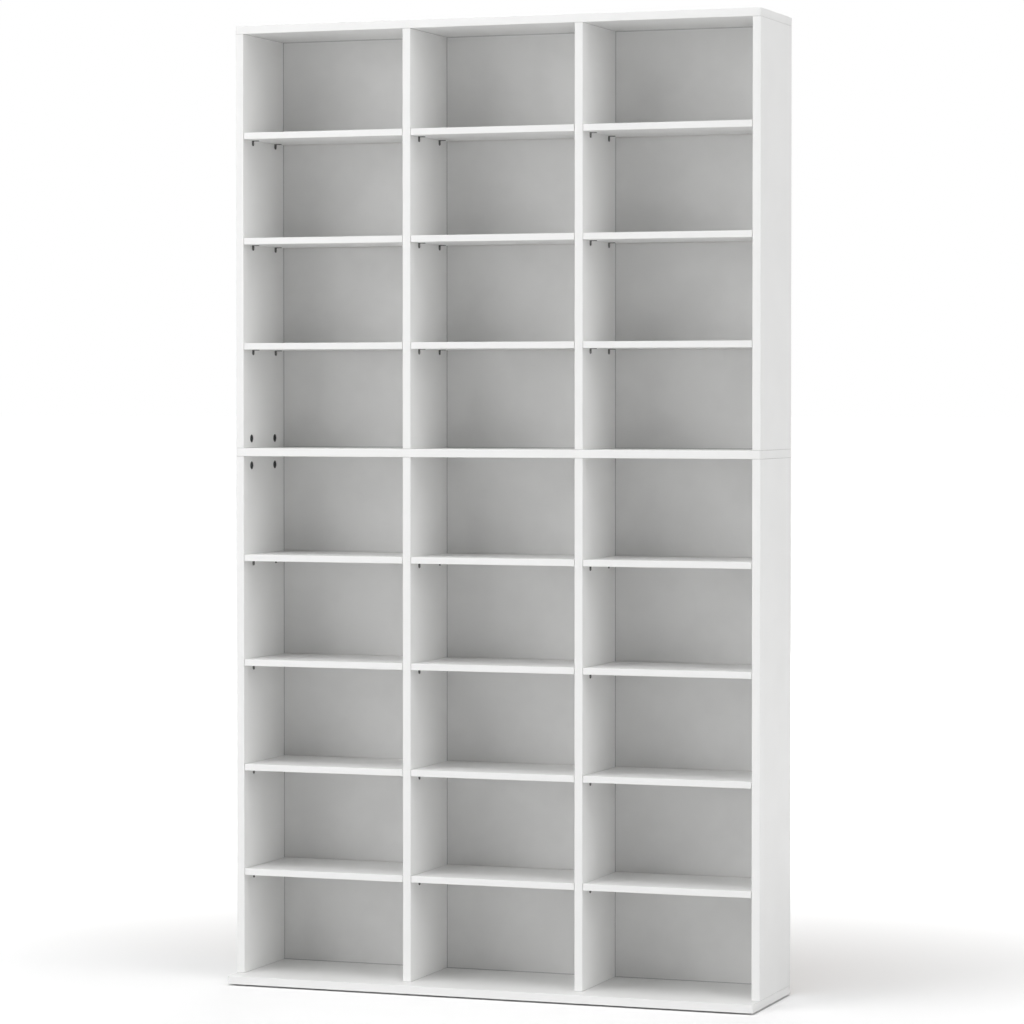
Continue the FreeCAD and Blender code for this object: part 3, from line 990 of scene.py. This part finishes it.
@dataclass
class ShelfSupports(Fitting):
    """Steel angles that carry the loose shelves: a tab, a leg with a half-round end, a pin and its rivet."""

    finish: PlatedSteel = PlatedSteel("support_steel", bright=(0.26, 0.255, 0.25),
                                      dull=(0.11, 0.108, 0.105), roughness=0.2)
    width: float = 0.008
    plate: float = 0.0012
    reach: float = 0.012
    drop: float = 0.010
    bend_radius: float = 0.001
    corner_radius: float = 0.002
    hole_radius: float = 0.0014
    hole_inset: float = 0.0036
    pin_radius: float = 0.0025
    pin_length: float = 0.007
    pin_drop: float = 0.0056
    pin_chamfer: float = 0.0005
    rivet_radius: float = 0.0032
    rivet_height: float = 0.0005
    rivet_rounding: float = 0.00045
    edge: float = 0.00012
    sides: int = 16
    bend_steps: int = 3
    end_steps: int = 5
    rivet_steps: int = 2

    def _bent_plate(self) -> bpy.types.Object:
        """Sheet of the tab and the leg, bent and given its thickness.

        Returns:
            The sheet, with the wall at x zero and the top of its tab at z zero.
        """
        half = self.width / 2
        add = bpy.ops.mesh.primitive_plane_add
        plate = start_from(add, "support_plate", size=self.width, location=(half, 0, 0))
        with Bench(plate) as bench:
            bench.corners(lambda place: place.x > half).move(Vector((self.reach - self.width, 0, 0)))
            bench.edges(lambda place: place.x < HAIR).draw_edge(Vector((0, 0, -self.drop)))
            bench.corners(lambda place: place.z < -half).round_corners(half, self.end_steps)
            tip = self.reach - HAIR
            bench.corners(lambda place: place.x > tip).round_corners(self.corner_radius, self.bend_steps)
            bend = bench.edges(lambda place: abs(place.x) + abs(place.z) < HAIR)
            bend.round_edges(self.bend_radius, self.bend_steps)
        thicken(plate, self.plate)
        return plate

    def _pin(self) -> bpy.types.Object:
        """Pin that enters the upright.

        Returns:
            The pin, with a chamfered tip.
        """
        foot = Vector((-self.pin_length, 0, -self.pin_drop))
        head = Vector((self.plate / 2, 0, -self.pin_drop))
        pin = rod("support_pin", self.pin_radius, foot, head, self.sides)
        with Bench(pin) as bench:
            bench.edges(lambda place: place.x < HAIR - self.pin_length).round_edges(self.pin_chamfer, 1)
        return pin

    def _rivet(self) -> bpy.types.Object:
        """Spread end of the pin.

        Returns:
            The rivet, a low dome on the leg.
        """
        top = self.plate + self.rivet_height
        rivet = rod("support_rivet", self.rivet_radius, Vector((self.plate / 2, 0, -self.pin_drop)),
                    Vector((top, 0, -self.pin_drop)), self.sides)
        with Bench(rivet) as bench:
            bench.edges(lambda place: place.x > top - HAIR).round_edges(self.rivet_rounding, self.rivet_steps)
        return rivet

    def pattern(self) -> bpy.types.Object:
        """Model one support.

        Returns:
            The support, for a wall that faces +X.
        """
        support = self._bent_plate()
        pierce(support, self.hole_radius, Vector((self.reach - self.hole_inset, 0, 0)), UP, self.sides)
        combine(support, self._pin(), Operation.JOIN)
        combine(support, self._rivet(), Operation.JOIN)
        break_edges(support, self.edge)
        return support

    def _places(self, number: str) -> list[Matrix]:
        """Places of the twelve supports at one level.

        Args:
            number: Number of the level, from the lowest.

        Returns:
            The places.
        """
        rows = inset_ends("shelf_supports_" + number, 1, self.width / 2)
        places = []
        for column in Column:
            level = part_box("shelf_" + column.value + "_" + number)[0].z
            for wall, facing in zip(column_walls(column), (FACING_RIGHT, FACING_LEFT)):
                places += crossings((wall,), rows, level, facing)
        return places

    def build(self) -> None:
        """Make the supports of every level."""
        numbers = [str(number) for number in range(1, SHELF_COUNT + 1)]
        rows = [("shelf_support_row_" + number, "shelf_supports_" + number, self._places(number))
                for number in numbers]
        self.set_out(self.pattern(), rows)


@dataclass
class CamLocks(Fitting):
    """Cast cams that hold the bolts of the middle board: a disc with a rim, a cross slot and a port."""

    finish: CastZinc = CastZinc("cam_zinc")
    radius: float = 0.0074
    height: float = 0.0121
    recess: float = 0.0003
    rim_width: float = 0.0007
    rim_height: float = 0.00025
    slot_length: float = 0.009
    slot_width: float = 0.0016
    slot_depth: float = 0.002
    port_radius: float = 0.0031
    edge: float = 0.00015
    sides: int = 40
    port_sides: int = 20

    def pattern(self, centre_depth: float, bolt_way: Vector) -> bpy.types.Object:
        """One cam whose face is at x zero and looks along +X.

        Args:
            centre_depth: How deep the bolt's axis lies behind the face.
            bolt_way: Way from the cam to its bolt.

        Returns:
            The cam.
        """
        cam = rod("cam", self.radius, -RIGHT * self.height, Vector(), self.sides)
        with Bench(cam) as bench:
            bench.end_face(RIGHT).inset(self.rim_width)
            bench.extrude(-RIGHT * self.rim_height)
        reach = self.slot_length / 2
        for half_y, half_z in ((reach, self.slot_width / 2), (self.slot_width / 2, reach)):
            corner = Vector((self.slot_depth, half_y, half_z))
            combine(cam, block("cam_slot", -corner, corner), Operation.CUT)
        axis = -RIGHT * centre_depth
        port = rod("cam_port", self.port_radius, axis - bolt_way * self.port_radius,
                   axis + bolt_way * 2 * self.radius, self.port_sides)
        combine(cam, port, Operation.CUT)
        break_edges(cam, self.edge)
        return cam

    def _places(self, half: Half) -> list[Matrix]:
        """Places of the eight cams of one half: the left side's face right, the others left.

        Args:
            half: The half.

        Returns:
            The places.
        """
        node = "cam_locks_" + half.value
        places = []
        for upright in Upright:
            low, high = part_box(upright.value + "_" + half.value)
            x, facing = low.x + self.recess, FACING_LEFT
            if upright is Upright.LEFT_SIDE:
                x, facing = high.x - self.recess, FACING_RIGHT
            places += crossings((x,), inset_ends(node, 1, self.radius), middle(node).z, facing)
        return places

    def build(self) -> None:
        """Make the cams of both halves."""
        low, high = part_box("left_side_lower")
        centre_depth = (high.x - low.x) / 2 - self.recess
        for half, bolt_way in ((Half.LOWER, UP), (Half.UPPER, -UP)):
            cam = self.pattern(centre_depth, bolt_way)
            self.set_out(cam, [("cam_lock_row_" + half.value, "cam_locks_" + half.value, self._places(half))])


@dataclass
class ScrewCaps(Fitting):
    """Plastic caps over the screws of the top board: a low dome with a plug."""

    finish: MouldedPlastic = MouldedPlastic("cap_plastic", colour=(0.90, 0.90, 0.89),
                                            shade=(0.87, 0.87, 0.86))
    radius: float = 0.00625
    height: float = 0.0012
    ring_width: float = 0.001875
    ring_rises: tuple[float, ...] = (0.000132, 0.000088)
    edge_radius: float = 0.0007
    edge_steps: int = 4
    plug_radius: float = 0.002
    plug_length: float = 0.0024
    sides: int = 36

    def pattern(self) -> bpy.types.Object:
        """Model one cap.

        Returns:
            The cap, on a board whose face is at z zero.
        """
        rim_top = self.height - sum(self.ring_rises)
        cap = rod("cap", self.radius, Vector(), UP * rim_top, self.sides)
        with Bench(cap) as bench:
            for rise in self.ring_rises:
                bench.end_face(UP).inset(self.ring_width)
                bench.move(UP * rise)
            bench.end_face(-UP).inset(self.radius - self.plug_radius)
            bench.extrude(-UP * self.plug_length)
            wall = self.radius - HAIR
            rim = bench.edges(lambda place: place.z > 0 and place.xy.length > wall)
            rim.round_edges(self.edge_radius, self.edge_steps)
        shade_round(cap)
        return cap

    def build(self) -> None:
        """Put a cap on every screw of the top board."""
        columns = [middle(upright.value + "_upper").x for upright in Upright]
        places = crossings(columns, inset_ends("screw_caps", 1, self.radius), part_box("top_board")[1].z)
        self.set_out(self.pattern(), [("screw_cap_set", "screw_caps", places)])


@dataclass
class Glides(Fitting):
    """Nailed plastic discs under the base board, tapered to the floor, with a recess for the nail."""

    finish: MouldedPlastic = MouldedPlastic("glide_plastic", colour=(0.78, 0.78, 0.77),
                                            shade=(0.72, 0.72, 0.71), roughness=0.5)
    radius: float = 0.011
    edge_radius: float = 0.001
    edge_steps: int = 4
    recess_radius: float = 0.0031
    recess_depth: float = 0.0014
    nail_radius: float = 0.0011
    groove_radius: float = 0.0075
    groove_width: float = 0.0012
    groove_depth: float = 0.0005
    sides: int = 36
    recess_sides: int = 18
    nail_sides: int = 12

    def pattern(self, height: float) -> bpy.types.Object:
        """One glide that stands on the floor.

        Args:
            height: Its height, from the floor to the base board.

        Returns:
            The glide.
        """
        glide = rod("glide", self.radius, Vector(), UP * height, self.sides)
        with Bench(glide) as bench:
            bench.edges(lambda place: place.z < HAIR).round_edges(self.edge_radius, self.edge_steps)
            foot_radius = self.radius - self.edge_radius
            bench.end_face(-UP).inset(foot_radius - self.groove_radius - self.groove_width / 2)
            bench.inset(self.groove_width)
        self._cut_groove(glide)
        top = UP * self.recess_depth
        recess = rod("nail_recess", self.recess_radius, -UP * height, top, self.recess_sides)
        combine(glide, recess, Operation.CUT)
        pierce(glide, self.nail_radius, Vector(), UP, self.nail_sides)
        shade_round(glide)
        return glide

    def _cut_groove(self, glide: bpy.types.Object) -> None:
        """Sink the ring between the two insets, a shallow groove round the recess.

        Args:
            glide: The glide.
        """
        inner = self.groove_radius - self.groove_width / 2
        outer = self.groove_radius + self.groove_width / 2

        def in_groove(face: bmesh.types.BMFace) -> bool:
            """Whether a face lies between the insets."""
            centre = face.calc_center_median()
            return centre.z < HAIR and inner < centre.xy.length < outer

        with Bench(glide) as bench:
            bench.pick("FACE", in_groove).extrude(UP * self.groove_depth)

    def build(self) -> None:
        """Put the glides under the base board."""
        columns = [middle(name.value + "_lower").x for name in (Upright.LEFT_DIVIDER, Upright.RIGHT_DIVIDER)]
        columns += inset_ends("glides", 0, self.radius)
        places = crossings(columns, inset_ends("glides", 1, self.radius), 0.0)
        self.set_out(self.pattern(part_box("glides")[1].z), [("glide_set", "glides", places)])


@dataclass
class WallBrackets(Fitting):
    """Pressed angles that tie the top board to the wall."""

    finish: PlatedSteel = PlatedSteel("bracket_steel", bright=(0.72, 0.72, 0.73), dull=(0.60, 0.60, 0.62),
                                      roughness=0.30)
    width: float = 0.016
    plate: float = 0.0016
    rise: float = 0.018
    leg: float = 0.024
    bend_radius: float = 0.0012
    corner_radius: float = 0.003
    wall_hole_radius: float = 0.00225
    wall_hole_height: float = 0.0105
    screw_hole_radius: float = 0.0018
    screw_inset: float = 0.008
    edge: float = 0.0002
    sides: int = 24
    corner_steps: int = 5
    bend_steps: int = 4
    edge_steps: int = 2

    def pattern(self) -> bpy.types.Object:
        """Model one bracket.

        Returns:
            The bracket, with its bend at the origin; the leg runs forwards and the rise stands up.
        """
        half = self.width / 2
        add = bpy.ops.mesh.primitive_plane_add
        bracket = start_from(add, "bracket", size=self.width, location=(0, -half, 0))
        with Bench(bracket) as bench:
            bench.corners(lambda place: place.y < -half).move(Vector((0, self.width - self.leg, 0)))
            bench.edges(lambda place: place.y > -HAIR).draw_edge(Vector((0, 0, self.rise)))
            for tip in (lambda place: place.z > half, lambda place: place.y < HAIR - self.leg):
                bench.corners(tip).round_corners(self.corner_radius, self.corner_steps)
            bend = bench.edges(lambda place: abs(place.y) + abs(place.z) < HAIR)
            bend.round_edges(self.bend_radius, self.bend_steps)
            bpy.ops.mesh.select_all(action="SELECT")
            bpy.ops.mesh.flip_normals()
        thicken(bracket, self.plate)
        pierce(bracket, self.wall_hole_radius, UP * self.wall_hole_height, BACK, self.sides)
        pierce(bracket, self.screw_hole_radius, BACK * (self.screw_inset - self.leg), UP, self.sides)
        break_edges(bracket, self.edge, self.edge_steps)
        return bracket

    def build(self) -> None:
        """Put a bracket at each end of the rear of the top board."""
        low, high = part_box("wall_brackets")
        places = crossings(inset_ends("wall_brackets", 0, self.width / 2), (high.y,), low.z)
        self.set_out(self.pattern(), [("wall_bracket_pair", "wall_brackets", places)])


@dataclass
class Fasteners:
    """Screws, bolts, nails and dowels, which keep the shape of the frame."""

    screw_steel: PlatedSteel = PlatedSteel("screw_steel", bright=(0.66, 0.66, 0.67), dull=(0.54, 0.54, 0.56))
    bolt_steel: PlatedSteel = PlatedSteel("bolt_steel", bright=(0.70, 0.69, 0.66), dull=(0.58, 0.57, 0.54))
    beech: Beech = Beech("dowel_beech")
    steel_nodes: tuple[str, ...] = ("top_screws", "base_screws", "glide_nails", "bracket_screws")

    def build(self) -> None:
        """Dress every fastener."""
        screw_steel = self.screw_steel.make()
        for name in self.steel_nodes:
            dress(name, screw_steel)
        dress("cam_bolts", self.bolt_steel.make())
        dress("wood_dowels", self.beech.make())
        log.info("fasteners: %s, cam bolts and dowels", ", ".join(self.steel_nodes))


# Studio and camera

@dataclass
class Lamp:
    """One square soft lamp, aimed at the middle of the shelf."""

    name: str
    azimuth: float
    elevation: float
    distance: float
    size: float
    strength: float

    def build(self, target: Vector) -> None:
        """Hang the lamp.

        Args:
            target: Point that it is aimed at.
        """
        turn, lift = math.radians(self.azimuth), math.radians(self.elevation)
        way = Vector((math.sin(turn) * math.cos(lift), -math.cos(turn) * math.cos(lift), math.sin(lift)))
        data = bpy.data.lights.new(self.name, "AREA")
        data.shape = "SQUARE"
        data.size = self.size
        data.energy = self.strength
        lamp = bpy.data.objects.new(self.name, data)
        lamp.location = target + way * self.distance
        lamp.rotation_euler = (-way).to_track_quat("-Z", "Y").to_euler()
        bpy.context.scene.collection.objects.link(lamp)


@dataclass
class Studio:
    """Pale floor, white surroundings and a few large soft lamps."""

    floor_size: float = 400.0
    floor_colour: Colour = (0.86, 0.86, 0.86)
    sky_colour: Colour = (1.0, 1.0, 1.0)
    shadow_fringe: float = 0.003
    glow_reach: tuple[float, float] = (0.5, 3.0)
    glow_strength: tuple[float, float] = (0.2, 1.0)
    sky_light: float = 0.02
    lamps: tuple[Lamp, ...] = (
        Lamp("right_lamp", azimuth=70.0, elevation=20.0, distance=9.0, size=8.0, strength=432.0),
        Lamp("left_lamp", azimuth=-45.0, elevation=20.0, distance=9.0, size=8.0, strength=442.0),
        Lamp("top_lamp", azimuth=0.0, elevation=80.0, distance=9.0, size=6.0, strength=465.0),
        Lamp("rear_lamp", azimuth=190.0, elevation=12.0, distance=9.0, size=4.0, strength=225.0),
    )

    def build_sky(self) -> None:
        """White surroundings that light the shelf more weakly than they look."""
        world = bpy.data.worlds.new("surroundings")
        world.use_nodes = True
        draft = NodeDraft(world.node_tree)
        strength = draft.ramp(draft.seen_directly(), start=self.sky_light)
        sky = draft.fed("ShaderNodeBackground", Color=self.sky_colour, Strength=strength)
        draft.node("ShaderNodeOutputWorld", sky.outputs[0])
        bpy.context.scene.world = world

    def _paper(self) -> bpy.types.Material:
        """Finish of the floor, which glows where it is seen.

        Returns:
            The material; its glow is weak near the shelf, and there is none under the base.
        """
        draft = FinishDraft("studio_floor")
        point = draft.point()
        across, along, _ = draft.depths(point, *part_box("base_board"))
        depth = draft.extreme("MINIMUM", across + along)
        uncovered = draft.ramp(depth, -self.shadow_fringe, 0.0, 1.0, 0.0)
        level = draft.ramp(draft.length(point), *self.glow_reach, *self.glow_strength)
        glow = draft.math("MULTIPLY", draft.math("MULTIPLY", level, uncovered), draft.seen_directly())
        light = draft.fed("ShaderNodeEmission", Color=self.sky_colour, Strength=glow)
        paint = draft.fed("ShaderNodeBsdfDiffuse", Color=self.floor_colour)
        both = draft.node("ShaderNodeAddShader", paint.outputs[0], light.outputs[0])
        return draft.finish(both.outputs[0])

    def build_floor(self) -> None:
        """White floor that keeps the shadow of the shelf."""
        floor = start_from(bpy.ops.mesh.primitive_plane_add, "studio_floor", size=self.floor_size)
        floor.data.materials.append(self._paper())

    def build(self) -> None:
        """Set the floor, the surroundings and the lamps."""
        self.build_sky()
        self.build_floor()
        target = (cad_low + cad_high) / 2
        for lamp in self.lamps:
            lamp.build(target)
        bpy.context.scene.view_settings.view_transform = "Standard"
        log.info("studio: floor and %d lamps", len(self.lamps))


@dataclass
class PhotoCamera:
    """Long lens, a little above the middle of the shelf's height, off to its right."""

    place: Vector = Vector((2.3838, -6.5583, 1.0857))
    yaw: float = 19.893
    pitch: float = 1.245
    lens: float = 134.12
    sensor: float = 36.0
    shift_up: float = -0.03

    def build(self) -> None:
        """Set up the camera."""
        data = bpy.data.cameras.new("photo_camera")
        data.sensor_width = self.sensor
        data.lens = self.lens
        data.shift_y = self.shift_up
        camera = bpy.data.objects.new("photo_camera", data)
        camera.location = self.place
        camera.rotation_euler = (math.pi / 2 - math.radians(self.pitch), 0, math.radians(self.yaw))
        bpy.context.scene.collection.objects.link(camera)
        bpy.context.scene.camera = camera
        log.info("camera: %.1f mm lens", self.lens)


def main() -> None:
    """Dress the frame, add the small fittings, and set the studio and the camera."""
    logging.basicConfig(level=logging.INFO, format="%(name)s: %(message)s")
    for group in (Carcass(), LooseShelves(), ShelfSupports(), CamLocks(), ScrewCaps(), Glides(),
                  WallBrackets(), Fasteners()):
        group.build()
    Studio().build()
    PhotoCamera().build()


if __name__ == "__main__":
    main()
